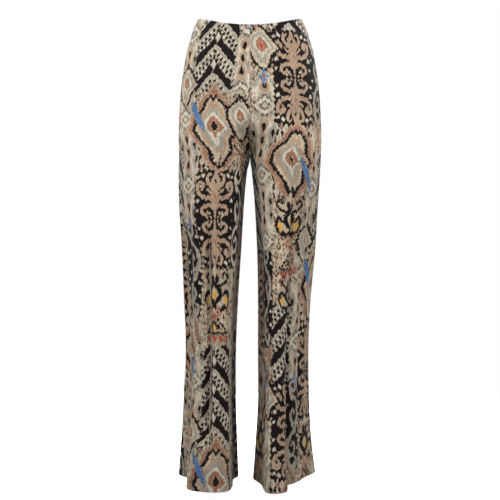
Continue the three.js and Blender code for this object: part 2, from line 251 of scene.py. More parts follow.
def cloth_point(leg, z, place):
    """The section with its folds sunk in, and the direction that the smooth section has there."""
    x, y = smooth_point(leg, z, place)
    dx, dy = heading(leg, z, place)
    sunk = 0
    for middle, top, start, stop, end, depth, half in leg["folds"]:
        fx, fy = smooth_point(leg, z, np.full_like(place, middle))
        here = depth * ease((top - z) / (top - start)) * (1 - ease((stop - z) / (stop - end)))
        sunk = sunk + here * np.exp(-((np.hypot(x - fx, y - fy) / half) ** 2))
    return x - dy * sunk, y + dx * sunk, dx, dy


def surface(leg, z, place):
    """The outer face of the cloth with its folds, and the direction along the section there."""
    last = len(leg["stations"]) - 1
    x, y, dx, dy = cloth_point(leg, z, place)
    ax, ay, _, _ = cloth_point(leg, z, np.clip(place - SLOPE_STEP, 0, last))
    bx, by, _, _ = cloth_point(leg, z, np.clip(place + SLOPE_STEP, 0, last))
    inside = (place > 0) & (place < last)
    size = np.hypot(bx - ax, by - ay)
    return x, y, np.where(inside, (bx - ax) / size, dx), np.where(inside, (by - ay) / size, dy)


def waist_shift(leg, z, place):
    """The waist's edge dips at the front and lifts at the back."""
    forward = np.cos(np.radians(station(leg, 0, place)))
    shift = np.where(forward > 0, -FRONT_DIP, BACK_LIFT) * forward**2
    return shift * (1 - ease(-z / DIP_ENDS))


# The print
INKS = ("plum", "cream", "pale", "grey", "tan", "terracotta", "red", "yellow", "blue", "taupe")
PALETTE = dict(plum="1b1416", cream="c9bb9f", pale="c9c3b4", grey="999487", tan="ad8f77", terracotta="996b54",
               red="a84935", yellow="d6a142", blue="5177a4", taupe="5f544b")
CREAM_WASH, CREAM_SHADE = "b8967f", "a69b8c"  # where other colours have run thin into the cream
INK_LAYERS = dict(inks_a=("plum", "pale", "grey"), inks_b=("tan", "terracotta", "red"),
                  inks_c=("yellow", "blue", "taupe"))
REPEAT_WIDTH, REPEAT_HEIGHT = 480, 780
FAR, NEAR_EDGE = 40.0, 6  # a depth that no motif reaches, and how far from its edge an ink's depth is kept


def saw(v, pitch):
    """A zigzag between 0 and 1."""
    return np.abs(2 * ((v / pitch) % 1) - 1)


def box(x, y, w, h):
    return np.minimum(w - np.abs(x), h - np.abs(y))


def lozenge(x, y, w, h):
    return (1 - np.abs(x) / w - np.abs(y) / h) * w * h / np.hypot(w, h)


def disc(x, y, r):
    return r - np.hypot(x, y)


def almond(x, y, w, h):
    """Pointed at the top, round at the foot."""
    t = np.clip(y / h * 0.5 + 0.5, -1, 2)
    round_foot = w * np.sqrt(np.clip(1 - ((t - 0.34) / 0.34) ** 2, 0, 1))
    width = np.where(t < 0.34, round_foot, w * np.clip((1 - t) / 0.66, 0, 1) ** 0.85)
    return np.minimum(width - np.abs(x), h - np.abs(y)) * 0.85


def curve(points, w, h, steps=5):
    """A smooth run of points through a few listed ones, given as shares of the motif's half sizes."""
    p = np.array(points, float) * (w, h)
    ends = np.vstack([2 * p[0] - p[1], p, 2 * p[-1] - p[-2]])
    out = []
    for i in range(len(p) - 1):
        a, b, c, d = ends[i:i + 4]
        for t in np.arange(steps) / steps:
            out.append(b + 0.5 * t * (c - a + t * (2 * a - 5 * b + 4 * c - d + t * (3 * (b - c) + d - a))))
    return np.array(out + [p[-1]])


def stroke(x, y, points, start, end):
    """A line along the points, its half width running from start to end."""
    best = np.full_like(x, -FAR)
    count = len(points) - 1
    for i, ((ax, ay), (bx, by)) in enumerate(zip(points[:-1], points[1:])):
        ex, ey = bx - ax, by - ay
        t = np.clip(((x - ax) * ex + (y - ay) * ey) / (ex * ex + ey * ey + 1e-9), 0, 1)
        half = start + (end - start) * (i + t) / count
        best = np.maximum(best, half - np.hypot(x - ax - t * ex, y - ay - t * ey))
    return best


def profile(x, y, w, h, points):
    """An outline as half widths at a few heights, height first, both as shares of the motif's half sizes."""
    heights, widths = (np.array(points, float) * (h, w)).T
    half = np.interp(y, heights, widths)
    slope = (np.interp(y + 1, heights, widths) - np.interp(y - 1, heights, widths)) / 2
    ends = np.minimum(y - heights[0], heights[-1] - y) + 0.5
    return np.minimum((half - np.abs(x)) / np.sqrt(1 + slope**2), ends)


class Cloth:
    """Places on the cloth, and for each ink how far inside its area every place lies."""

    def __init__(self, u, v):
        self.u, self.v = u, v
        self.ink = np.full((len(INKS), u.size), -FAR)
        self.ink[INKS.index("cream")] = FAR

    def copies(self, u, v, w, h):
        """The places around each copy of a motif, as the repeat runs on past all edges of this cloth."""
        for i in range(-2, 3):
            for j in range(-2, 4):
                middle_u, middle_v = u + i * REPEAT_WIDTH, v - j * REPEAT_HEIGHT
                near = np.flatnonzero((np.abs(self.u - middle_u) < w) & (np.abs(self.v - middle_v) < h))
                if len(near):
                    yield Patch(self, near, self.u[near] - middle_u, self.v[near] - middle_v)


class Patch:
    """One motif's part of the cloth, with places measured from the motif's middle."""

    def __init__(self, cloth, near, x, y):
        self.cloth, self.near, self.x, self.y = cloth, near, x, y
        self.ax, self.ay = np.abs(x), np.abs(y)
        self.inside = None

    def paint(self, ink, depth):
        """Lays an ink over the others wherever depth is above zero."""
        if self.inside is not None:
            depth = np.minimum(depth, self.inside)
        field = self.cloth.ink[:, self.near]
        own = INKS.index(ink)
        raised = np.maximum(field[own], depth)
        field = np.minimum(field, -depth)
        field[own] = raised
        self.cloth.ink[:, self.near] = field

    def ground(self, ink, w, h, ragged=5.0):
        """A patch of plain ground with the stepped edge that tie-dyed yarn gives."""
        steps = saw(self.y, 13) * (self.ax > 0.6 * w) + saw(self.x, 11) * (self.ay > 0.7 * h)
        edge = box(self.x, self.y, w, h) - ragged * steps
        self.paint(ink, edge)
        return edge


AGATE = (  # ink, how far in from the edge, how deep its teeth are
    ("tan", -2, 2.5), ("terracotta", 1.5, 3), ("plum", 8, 2.5), ("cream", 16.5, 2.5), ("tan", 22.5, 1.5),
    ("grey", 28, 2), ("pale", 35, 1.5), ("terracotta", 41, 1.5), ("plum", 50, 1),
)
SMALL_AGATE = (
    ("plum", -1, 3), ("cream", 6.5, 2), ("grey", 13, 1.5), ("pale", 19, 1), ("terracotta", 24, 1.5),
    ("red", 31, 1),
)


def medallion(p, w, h, rings=AGATE):
    """A lozenge in wavering rings, like a cut agate."""
    wave = 3.2 * np.sin(p.y / 15.0 + 0.6) + 2.6 * np.sin(p.y / 7.3 + p.x / 19.0)
    depth = lozenge(p.ax + 0.1 * w * np.cos(p.y / h * 5.0), p.y, 1.05 * w, h) + wave + 3
    for ink, inset, teeth in rings:
        p.paint(ink, depth - inset - teeth * (saw(p.y + 3 * inset, 8.5) + 0.5 * saw(p.y - inset, 5.1)))


def small_medallion(p, w, h):
    medallion(p, w, h, SMALL_AGATE)


PALMETTE_STEM = ((-1, 0), (-0.8, 0.05), (-0.5, 0.04), (-0.3, 0.12), (-0.12, 0.2), (0.02, 0.07), (0.2, 0.06),
                 (0.42, 0.2), (0.6, 0.22), (0.8, 0.09), (1.02, 0))
PALMETTE_SCROLLS = (  # points, half width at the root and at the tip
    (((0.02, -0.42), (0.22, -0.2), (0.56, -0.16), (0.88, 0.06), (0.95, 0.36), (0.76, 0.5), (0.6, 0.34),
      (0.7, 0.2)), 0.1, 0.045),
    (((0.04, -0.62), (0.3, -0.5), (0.62, -0.6), (0.7, -0.82), (0.5, -0.92), (0.4, -0.78)), 0.085, 0.04),
    (((0.06, 0.16), (0.26, 0.34), (0.42, 0.56), (0.4, 0.82), (0.26, 0.84)), 0.075, 0.04),
    (((0.06, -0.02), (0.28, 0.08), (0.42, 0.2)), 0.05, 0.03),
)
PALMETTE_DOTS = ((0.66, 0.8, 0.085), (0.9, 0.72, 0.06), (0.92, -0.3, 0.085), (0.96, -0.72, 0.06),
                 (0.3, -0.86, 0.05), (0.76, 0.33, 0.04))


def palmette(p, w, h):
    p.paint("tan", profile(p.x, p.y, w, h, PALMETTE_STEM))
    for points, root, tip in PALMETTE_SCROLLS:
        p.paint("tan", stroke(p.ax, p.y, curve(points, w, h), root * w, tip * w))
    scroll_line = curve(((0.36, -0.19), (0.66, -0.1), (0.88, 0.14)), w, h)
    p.paint("terracotta", profile(p.x, p.y, w, h, ((-0.3, 0), (-0.14, 0.1), (0.0, 0))))
    p.paint("terracotta", stroke(p.ax, p.y, scroll_line, 1.5, 1.2))
    p.paint("plum", profile(p.x, p.y, w, h, ((0.4, 0), (0.53, 0.1), (0.7, 0))))
    for across, up, radius in PALMETTE_DOTS:
        p.paint("pale", disc(p.ax - across * w, p.y - up * h, radius * w))


def palmettes(p, w, h):
    """Two palmettes foot to foot on a dark ground."""
    p.ground("plum", 1.12 * w, 1.04 * h)
    palmette(Patch(p.cloth, p.near, p.x, p.ay - 0.52 * h), 0.95 * w, 0.47 * h)
    for across in (0.0, 0.2, 0.4):
        p.paint("tan", disc(p.ax - across * w, p.ay - 4.6, 2.0))


VINE_RUNS = (
    ((0.3, -1.0), (-0.5, -0.8), (-0.78, -0.5), (-0.3, -0.22), (0.5, -0.05), (0.78, 0.25), (0.4, 0.52),
     (-0.4, 0.66), (-0.62, 0.85), (-0.3, 1.0)),
    ((-0.7, -0.5), (-0.35, -0.64), (0.15, -0.6), (0.28, -0.43), (0.0, -0.36), (-0.2, -0.44)),
    ((0.74, 0.2), (0.4, 0.04), (-0.15, 0.08), (-0.34, 0.25), (-0.05, 0.34), (0.16, 0.25)),
    ((-0.5, 0.8), (-0.1, 0.73), (0.4, 0.82), (0.32, 0.94), (0.05, 0.9)),
    ((0.1, -0.95), (0.55, -0.87), (0.62, -0.73), (0.35, -0.69)),
)
VINE_LEAVES = ((0.2, -0.84, 1), (-0.62, -0.66, -1), (0.32, -0.14, 1), (0.66, 0.36, 1), (-0.28, 0.6, -1),
               (-0.06, 0.0, -1))
VINE_DOTS = ((0.8, -0.25), (-0.8, 0.42), (0.82, 0.72), (-0.84, -0.02), (0.8, -0.52), (-0.88, -0.3),
             (0.86, 0.02))


def vine(p, w, h, ink="grey"):
    """A climbing stem with side scrolls and leaves on a dark ground."""
    p.ground("plum", 1.1 * w, h, 3.0)
    for points in VINE_RUNS:
        p.paint(ink, stroke(p.x, p.y, curve(points, w, h), 0.14 * w, 0.08 * w))
    for across, up, side in VINE_LEAVES:
        y = p.y - up * h
        p.paint(ink, lozenge(p.x - across * w - side * 0.3 * y, y, 0.2 * w, 0.075 * h))
    for across, up in VINE_DOTS:
        p.paint("pale", disc(p.x - across * w, p.y - up * h, 0.12 * w))


def flame(p, w, h, pitch=62.0, rise=1.1):
    """Nested arrowheads, each a dark bar, a pale one and rows of small lozenges."""
    p.inside = p.ground("pale", w, h)
    slant = 1 / math.hypot(1, rise)
    s = (p.y + rise * p.ax) % pitch
    along = p.y - rise * p.ax
    step = 2.8 * saw(along, 9.0)
    dark, grey = (
        np.minimum(s - low * pitch, high * pitch - s) * slant for low, high in ((-0.04, 0.4), (0.86, 0.98)))
    p.paint("plum", dark - step + 1.8 + 1.6 * np.sin(along / 13.0))
    for middle, shift in ((0.54, 0.0), (0.74, 9.0)):
        bead = (along + shift) % 18.0 - 9.0
        p.paint("plum", lozenge(bead * 0.67, (s - middle * pitch) * slant, 5.4, 7.4))
    p.paint("grey", grey - 0.4 * step)
    turn = (p.y + 0.25 * pitch) % pitch - 0.5 * pitch
    p.paint("plum", lozenge(p.x, turn, 0.24 * w, 0.36 * pitch) - 1.2 * saw(p.y, 7))
    p.paint("pale", lozenge(p.x, turn, 0.11 * w, 0.17 * pitch))


def chain(p, w, h, ink="pale", phase=0.0):
    """Stepped lozenges and hanging almonds in a row."""
    pitch = 150.0
    p.inside = p.ground(ink, w, h, 4)
    y = (p.y + phase + 0.5 * pitch) % pitch - 0.5 * pitch
    ay = np.abs(y)
    stairs = 3.0 * saw(p.ax, 9)
    p.paint("grey", 8 - np.abs(ay - 30 + 0.75 * p.ax) - stairs)
    p.paint("taupe", 4 - np.abs(ay - 24 + 0.75 * p.ax) - 0.8 * stairs)
    p.paint("taupe", 1.9 - np.abs(lozenge(p.x, y, 16, 11) - 1.9))
    p.paint("cream", lozenge(p.x, y, 16, 11) - 4.2)
    for middle, size in ((0.32, 1.0), (0.5, 0.82)):
        drop = ay - middle * pitch
        p.paint("tan", almond(p.x, drop, 11 * size, 20 * size))
        p.paint("plum", almond(p.x, drop - 1.5, 6.4 * size, 13 * size))
    p.paint("grey", lozenge(p.ax - 0.76 * w, ay - 0.4 * pitch, 13, 24))
    p.paint("plum", lozenge(p.ax - 0.76 * w, ay - 0.4 * pitch, 6, 12))
    p.paint("cream", 1.8 - np.abs(p.ax - 0.5 * w - 0.13 * w * np.sin(y / pitch * 19)))
    p.paint("tan", 2.2 - np.abs(ay - 0.25 * pitch + 0.5 * p.ax) - 0.8 * stairs)


def clearing(p, w, h):
    """A plain lozenge of cream for a motif to stand on."""
    p.paint("cream", lozenge(p.x, p.y, 0.95 * w, 1.05 * h) + 2 - 3 * saw(p.y, 9))


def pomegranate(p, w, h):
    """A split fruit between curling leaves, with yellow seeds."""
    clearing(p, w, h)
    rind = ((-0.62, 0), (-0.5, 0.34), (-0.22, 0.58), (0.06, 0.52), (0.28, 0.24), (0.4, 0.2))
    p.paint("plum", profile(p.x, p.y, w, h, rind) - 2.2 * saw(p.y, 8))
    p.paint("plum", profile(p.ax - 0.16 * w, p.y, w, h, ((0.3, 0.08), (0.5, 0.16), (0.72, 0))))
    p.paint("cream", profile(p.x, p.y, w, h, ((-0.42, 0), (-0.2, 0.27), (0.0, 0.22), (0.16, 0))))
    p.paint("yellow", almond(p.x, p.y + 0.15 * h, 0.17 * w, 0.19 * h))
    leaf = curve(((0.0, -0.6), (0.3, -0.78), (0.72, -0.66), (0.92, -0.3), (0.78, -0.02), (0.62, -0.16)), w, h)
    tendril = curve(((0.3, 0.2), (0.62, 0.3), (0.86, 0.56), (0.62, 0.72), (0.5, 0.56)), w, h)
    p.paint("plum", stroke(p.ax, p.y, leaf, 0.15 * w, 0.09 * w))
    p.paint("yellow", almond(p.ax - 0.72 * w, -(p.y + 0.44 * h), 0.13 * w, 0.2 * h))
    p.paint("plum", stroke(p.ax, p.y, tendril, 0.09 * w, 0.07 * w))
    p.paint("plum", profile(p.x, p.y, w, h, ((-1.0, 0), (-0.8, 0.12), (-0.6, 0.05))))


def tulip(p, w, h):
    """A flower on a stem with two pairs of leaves."""
    clearing(p, w, h)
    petals = ((-0.25, 0), (-0.05, 0.34), (0.3, 0.4), (0.62, 0.2), (0.95, 0))
    p.paint("plum", np.minimum(2.0 - p.ax, np.minimum(p.y + h, -p.y + 0.1 * h)))
    p.paint("plum", profile(p.x, p.y, w, h, petals) - 1.6 * saw(p.y, 7))
    p.paint("cream", profile(p.x, p.y, w, h, ((-0.06, 0), (0.12, 0.19), (0.4, 0.14), (0.6, 0))))
    p.paint("yellow", profile(p.x, p.y, w, h, ((0.0, 0), (0.14, 0.1), (0.4, 0))))
    upper = curve(((0.12, -0.2), (0.5, -0.08), (0.66, 0.26), (0.92, 0.46), (0.98, 0.2)), w, h)
    lower = curve(((0.04, -0.85), (0.4, -0.66), (0.74, -0.44), (0.6, -0.24)), w, h)
    p.paint("plum", stroke(p.ax, p.y, upper, 0.1 * w, 0.06 * w))
    p.paint("terracotta", almond(p.ax - 0.66 * w, p.y - 0.6 * h, 0.13 * w, 0.16 * h))
    p.paint("plum", stroke(p.ax, p.y, lower, 0.09 * w, 0.05 * w))


def almonds(p, w, h):
    """A pair of red almonds, each with a light ring and a dark kernel, over a small red lozenge."""
    for ink, share in (("red", 1.0), ("cream", 0.62), ("plum", 0.28)):
        p.paint(ink, almond(p.ax - 0.48 * w, p.y - 0.1 * h, share * 0.42 * w, share * 0.9 * h))
    p.paint("red", lozenge(p.x, p.y + h, 0.36 * w, 0.26 * h))


def comb(p, w, h):
    """A stepped triangle over a fringe of red points."""
    clearing(p, w, h)
    slope = 0.9 * w * (0.75 * h - np.floor(p.y / 7.0) * 7.0) / (1.1 * h) - p.ax
    for ink, inset, top, foot in (("plum", 0, 0.75, 0.35), ("tan", 7, 0.5, 0.2), ("plum", 11, 0.42, 0.12)):
        p.paint(ink, np.minimum(slope - inset, np.minimum(top * h - p.y, p.y + foot * h)))
    p.paint("yellow", lozenge(p.x, p.y - 0.02 * h, 0.12 * w, 0.17 * h))
    p.paint("plum", np.minimum(0.86 * w - p.ax, 1.7 - np.abs(p.y + 0.41 * h)))
    drop = -0.45 * h - p.y
    points = 6.0 * (1 - drop / 17) - np.abs((p.x + 7) % 14 - 7)
    p.paint("red", np.minimum(np.minimum(0.8 * w - p.ax, drop), 0.9 * points))


def filling(p, w, h, ground="cream", mark="plum"):
    """Small ringed lozenges in staggered rows."""
    p.inside = p.ground(ground, w, h)
    row = np.floor(p.y / 20)
    y = p.y - 20 * row - 10
    large = (p.x + 11 * (row % 2) + 11) % 22 - 11
    small = (p.x + 11 * (row % 2)) % 22 - 11
    p.paint(mark, lozenge(large, y, 6.6, 9.6))
    p.paint("tan", lozenge(large, y, 2.6, 4.0))
    p.paint("terracotta", lozenge(small, y - 3, 3.8, 5.6))
    p.paint(mark, lozenge(small, y + 6, 2.8, 3.4))


def tapered(p, h):
    return np.sqrt(np.clip(1 - (p.y / h) ** 2, 0, 1))


def stripes(p, w, h, lean=1.0):
    """A leaning band of three colours with ragged edges."""
    across = p.x - lean * 0.7 * w * np.sin(p.y / h * 1.4) - 3 * np.sin(p.y / 8.0)
    step = 3.6 * saw(p.y, 8.5) + 2 * saw(p.y, 5.3)
    for ink, middle, half in (("plum", 0.0, 0.66), ("terracotta", 0.14, 0.34), ("cream", -0.26, 0.26),
                              ("tan", 0.3, 0.14)):
        p.paint(ink, half * w * tapered(p, h) - np.abs(across - middle * w) - step)


def streak(p, w, h, lean=1.0):
    """A leaning stroke of blue with a dark edge."""
    across = np.abs(p.x - lean * w * np.sin(p.y / h * 1.7) - 1.5 * np.sin(p.y / 7.0))
    half = 0.8 * w * tapered(p, h) - across
    p.paint("plum", half + 2 - 4 * saw(p.y + 3, 9))
    p.paint("blue", half - 3.6 * saw(p.y, 9) - 1.6 * saw(p.y, 5.7))


def star(p, w, h):
    p.paint("blue", lozenge(p.x, p.y, w, 0.5 * h))
    p.paint("blue", lozenge(p.x, p.y, 0.5 * w, h))
    p.paint("terracotta", lozenge(p.x, p.y, 0.4 * w, 0.4 * h))


ON_DARK = dict(ground="plum", mark="pale")
# One repeat of the print: motif, across, up, half width, half height, options
REPEAT = [
    (filling, 45, -465, 56, 100), (filling, 195, -60, 54, 66), (filling, 190, -720, 54, 66),
    (filling, 335, -475, 52, 92), (filling, 455, -290, 40, 96), (filling, 452, -470, 44, 92),
    (filling, 60, -295, 62, 88, ON_DARK), (filling, 200, -580, 58, 86, ON_DARK),
    (filling, 345, -82, 70, 92, ON_DARK), (filling, 118, -300, 40, 92), (filling, 400, -85, 34, 92),
    (filling, 262, -770, 34, 50),
    (chain, 118, -590, 30, 194, dict(phase=20)), (chain, 262, -145, 30, 150, dict(phase=60)),
    (chain, 262, -640, 28, 146), (chain, 400, -590, 28, 196, dict(phase=40)),
    (flame, 45, -670, 54, 116), (flame, 190, -205, 54, 92), (flame, 335, -670, 52, 114),
    (flame, 458, -95, 44, 108),
    (vine, 118, -107, 24, 110), (vine, 262, -395, 24, 106),
    (vine, 400, -280, 24, 112, dict(ink="pale")), (vine, 455, -660, 26, 112),
    (palmettes, 45, -107, 50, 108), (palmettes, 190, -395, 48, 106), (palmettes, 335, -280, 46, 108),
    (medallion, 50, -300, 70, 92), (medallion, 196, -582, 66, 90), (medallion, 340, -80, 70, 96),
    (medallion, 455, -475, 62, 92),
    (small_medallion, 118, -330, 40, 58), (small_medallion, 400, -60, 34, 56),
    (small_medallion, 262, -760, 38, 52),
    (stripes, 122, -250, 24, 46), (stripes, 400, -152, 24, 42, dict(lean=-1)),
    (stripes, 262, -520, 24, 40, dict(lean=-1)),
    (pomegranate, 46, -420, 40, 56), (pomegranate, 192, -92, 36, 48), (pomegranate, 456, -250, 36, 50),
    (pomegranate, 190, -705, 40, 52),
    (tulip, 46, -530, 34, 46), (tulip, 456, -360, 30, 40), (comb, 190, -30, 38, 40),
    (pomegranate, 335, -438, 40, 54), (comb, 335, -520, 38, 40),
    (almonds, 20, -486, 18, 14), (almonds, 72, -486, 18, 14), (almonds, 226, -40, 16, 13),
    (almonds, 190, -762, 20, 15), (almonds, 335, -486, 18, 14), (almonds, 456, -316, 19, 15),
    (streak, 92, -288, 12, 38), (streak, 236, -610, 12, 40, dict(lean=-1)),
    (streak, 300, -50, 12, 36, dict(lean=-1)), (streak, 420, -500, 12, 34),
    (star, 262, -290, 16, 20), (star, 118, -395, 15, 19),
]


def print_repeat(u, v):
    """How far inside each ink's area every place lies, in millimetres. Bundles of dyed yarn have slipped
    a little."""
    turns = u * 2 * math.pi
    slipped = 1.3 * np.sin(turns / 11.7 + 2 * np.sin(u / 23)) + 1.1 * np.sin(turns / 7.3 + 1)
    cloth = Cloth(u, v + slipped)
    for motif, across, up, width, height, *more in REPEAT:
        for patch in cloth.copies(across, up, 1.6 * width + 5, 1.3 * height + 5):
            motif(patch, width, height, **dict(*more))
    return np.clip(cloth.ink, -NEAR_EDGE, NEAR_EDGE)


# Panels of cloth
def printed_path():
    """The way down a panel, as heights and how deep each lies under the face: inside the casing, over its
    fold, down the face, round the hem's fold and up inside."""
    half_turn = np.linspace(0, math.pi, TURN_STEPS)[1:-1]
    foot = -OUTSEAM + TURN_RADIUS
    casing = np.linspace(-CASING_DEPTH, -TURN_RADIUS, CASING_ROWS)
    over = -TURN_RADIUS + TURN_RADIUS * np.sin(half_turn)
    face = np.linspace(-TURN_RADIUS, foot, FACE_ROWS)
    under = foot - TURN_RADIUS * np.sin(half_turn)
    hem = np.linspace(foot, -OUTSEAM + HEM_DEPTH, HEM_ROWS)
    rounding = TURN_RADIUS * (1 + np.cos(half_turn))
    turned_casing, turned_hem = np.full(CASING_ROWS, 2 * TURN_RADIUS), np.full(HEM_ROWS, 2 * TURN_RADIUS)
    insets = np.concatenate([turned_casing, rounding, np.zeros(FACE_ROWS), rounding[::-1], turned_hem])
    return np.concatenate([casing, over, face, under, hem]), insets


def lay_cloth(panel, heights, columns):
    """A grid on the cloth: its places, which way the section runs there, and how far across the flat cloth
    each point lies, from the straight grain and from the panel's first edge. All in millimetres."""
    z = heights[:, None]
    place = np.linspace(panel.first, panel.last, columns)[None, :] + 0 * z
    x, y, dx, dy = surface(panel.leg, z, place)
    steps = np.hypot(np.diff(x, axis=1), np.diff(y, axis=1))
    across = np.concatenate([np.zeros((len(heights), 1)), np.cumsum(steps, axis=1)], axis=1)
    middle = (panel.grain - panel.first) / (panel.last - panel.first) * (columns - 1)
    low = int(middle)
    zero = mix(across[:, low], across[:, low + 1], middle - low)
    u = (across - zero[:, None]) * panel.leg["side"]
    return Laid(x, y, z + waist_shift(panel.leg, z, place), dx, dy, u, across)


def drag_depth(panel, laid):
    """How deep the drag lines and the dents between them pull the cloth in, fading out under the waist."""
    depth = np.zeros_like(laid.u)
    for ax, ay, bx, by, deepest, half in panel.drags:
        ex, ey = bx - ax, by - ay
        t = np.clip(((laid.u - ax) * ex + (laid.up - ay) * ey) / (ex * ex + ey * ey), 0, 1)
        away = np.hypot(laid.u - ax - t * ex, laid.up - ay - t * ey)
        depth += deepest * np.exp(-((away / half) ** 2)) * (0.35 + 0.65 * np.sin(math.pi * t))
    return depth * ease(-laid.up / DRAG_FADE)


def pucker(laid):
    """Small ripples where elastic draws the waist in, and along the seams."""
    across, up = laid.across, laid.up
    draw = np.clip((up + RIPPLES_END) / RIPPLES_FADE, 0, 1)
    round_waist = np.sin(across / 2.3 + 1.8 * np.sin(across / 17)) * (0.6 + 0.4 * np.sin(across / 29))
    near_seam = np.exp(-((np.minimum(across, across[:, -1:] - across) / SEAM_REACH) ** 2))
    along_seam = np.sin(up / 3.1 + 1.5 * np.sin(up / 23)) * (0.5 + 0.5 * np.sin(up / 61))
    return WAIST_RIPPLE * draw * round_waist + SEAM_RIPPLE * near_seam * along_seam


def place_in_space(panel, laid, inset):
    """The points, this far in from the face, on the leg's own side of the body."""
    out_to_side = laid.x - laid.dy * inset
    return np.stack([panel.leg["side"] * out_to_side, laid.y + laid.dx * inset, laid.up], axis=2)


def piece_from(bm, name):
    mesh = bpy.data.meshes.new(name)
    bm.to_mesh(mesh)
    bm.free()
    piece = bpy.data.objects.new(name, mesh)
    bpy.context.scene.collection.objects.link(piece)
    return piece


def cloth_sheet(name, panel, laid, inset, faces_out):
    """A grid of faces with the cloth's own map, made as a flat grid and then laid in its place."""
    rows, columns = laid.u.shape
    bm = bmesh.new()
    bmesh.ops.create_grid(bm, x_segments=columns - 1, y_segments=rows - 1, size=1)
    piece = piece_from(bm, name)
    mesh = piece.data
    points = place_in_space(panel, laid, inset) * MM
    mesh.vertices.foreach_set("co", points.ravel().astype(np.float32))
    corners = np.empty(len(mesh.loops), dtype=np.int32)
    mesh.loops.foreach_get("vertex_index", corners)
    flat = np.stack([laid.u.ravel(), laid.up.ravel()], axis=1)[corners] * MM
    mesh.uv_layers.new(name="cloth").data.foreach_set("uv", flat.ravel().astype(np.float32))
    mesh.polygons.foreach_set("use_smooth", np.ones(len(mesh.polygons), dtype=bool))
    mesh.update()
    if (panel.leg["side"] > 0) == faces_out:
        mesh.flip_normals()
    return piece


def printed_panel(name, panel):
    """The printed face with its rolled seam edges, casing and hem, in one sheet."""
    heights, insets = printed_path()
    laid = lay_cloth(panel, heights, panel.columns)
    inset = insets[:, None] + 0 * laid.u
    outside = inset < TURN_RADIUS
    sunk = drag_depth(panel, laid) + pucker(laid)
    inset = inset + np.where(outside, np.maximum(sunk, -FACE_LIFT), np.clip(sunk, -TURNED_PLAY, TURNED_PLAY))
    for step, (roll, gap) in enumerate(SEAM_ROLL):
        for column, inward in ((step, gap), (-1 - step, -gap)):
            inset[:, column] += np.where(outside[:, column], roll, 0)
            laid.x[:, column] += inward * laid.dx[:, column]
            laid.y[:, column] += inward * laid.dy[:, column]
    piece = cloth_sheet(name + "_cloth", panel, laid, inset, True)
    cut_u, cut_v = panel.cut
    ink = print_repeat(laid.u.ravel() + cut_u, laid.up.ravel() + cut_v)
    for layer, three in INK_LAYERS.items():
        values = np.stack([ink[INKS.index(k)] for k in three], axis=1)
        attribute = piece.data.attributes.new(layer, "FLOAT_VECTOR", "POINT")
        attribute.data.foreach_set("vector", values.ravel().astype(np.float32))
    return piece


def reverse_panel(name, panel):
    """The unprinted wrong side, which shows inside the legs between the casing and the hem."""
    heights = np.linspace(-CASING_DEPTH + REVERSE_TUCK, -OUTSEAM + HEM_DEPTH - REVERSE_TUCK, REVERSE_ROWS)
    laid = lay_cloth(panel, heights, panel.columns // 2)
    inset = TURN_RADIUS + np.maximum(drag_depth(panel, laid), 0)
    return cloth_sheet(name + "_reverse", panel, laid, inset, False)


# Sewing, in millimetres
STITCH_LENGTH, STITCH_THICKNESS, STITCH_PITCH = 2.6, 0.55, 3.6
STITCH_LIFT, SEAM_MARGIN = 0.1, 3.0
STITCH_COLUMNS = 900
STITCH_ROWS = (-CASING_DEPTH + 2, -OUTSEAM + HEM_DEPTH, -OUTSEAM + HEM_DEPTH - 6)  # casing, hem's twin rows


def stitched_rows(name, panel):
    """Rows of stitches that hold the casing and the hem, as one mesh of small beads lying on the face."""
    thick = STITCH_THICKNESS / 2 * MM
    size = Matrix.Diagonal((STITCH_LENGTH / 2 * MM, thick, thick, 1))
    bm = bmesh.new()
    for height in STITCH_ROWS:
        laid = lay_cloth(panel, np.array([height]), STITCH_COLUMNS)
        on_face = place_in_space(panel, laid, -STITCH_LIFT)[0]
        for spot in np.arange(SEAM_MARGIN, laid.across[0, -1] - SEAM_MARGIN, STITCH_PITCH):
            i = int(np.searchsorted(laid.across[0], spot))
            turn = Matrix.Rotation(math.atan2(laid.dy[0, i], panel.leg["side"] * laid.dx[0, i]), 4, "Z")
            at = Matrix.Translation(Vector(on_face[i]) * MM)
            bmesh.ops.create_icosphere(bm, subdivisions=1, radius=1, matrix=at @ turn @ size)
    return piece_from(bm, name + "_thread")


# Materials
def linear(colour):
    """An sRGB hex colour as linear red, green, blue and alpha."""
    shares = [int(colour[i:i + 2], 16) / 255 for i in (0, 2, 4)]
    return [s / 12.92 if s <= 0.04045 else ((s + 0.055) / 1.055) ** 2.4 for s in shares] + [1.0]


def node(tree, kind, values=None, links=None, **settings):
    """Adds a node with its own settings, its inputs' values, and links from other nodes' outputs."""
    made = tree.nodes.new(kind)
    for name, value in settings.items():
        setattr(made, name, value)
    for socket, value in (values or {}).items():
        made.inputs[socket].default_value = value
    for socket, source in (links or {}).items():
        tree.links.new(source, made.inputs[socket])
    return made


def new_material(name, **values):
    material = bpy.data.materials.new(name)
    material.use_nodes = True
    tree = material.node_tree
    shader = tree.nodes["Principled BSDF"]
    for socket, value in values.items():
        shader.inputs[socket.replace("_", " ")].default_value = value
    return material, tree, shader


def noise_on(tree, vector, grain, detail=2.0):
    """Noise on the cloth's map, with grains of this width and height in millimetres."""
    per_metre = {"Scale": (1 / MM / grain[0], 1 / MM / grain[1], 1)}
    scaled = node(tree, "ShaderNodeMapping", per_metre, {"Vector": vector}).outputs["Vector"]
    numbers = {"Scale": 1.0, "Detail": detail}
    return node(tree, "ShaderNodeTexNoise", numbers, {"Vector": scaled}, noise_dimensions="2D").outputs["Fac"]


def ranged(tree, value, low, high, to_low, to_high):
    numbers = {"From Min": low, "From Max": high, "To Min": to_low, "To Max": to_high}
    return node(tree, "ShaderNodeMapRange", numbers, {"Value": value}).outputs["Result"]


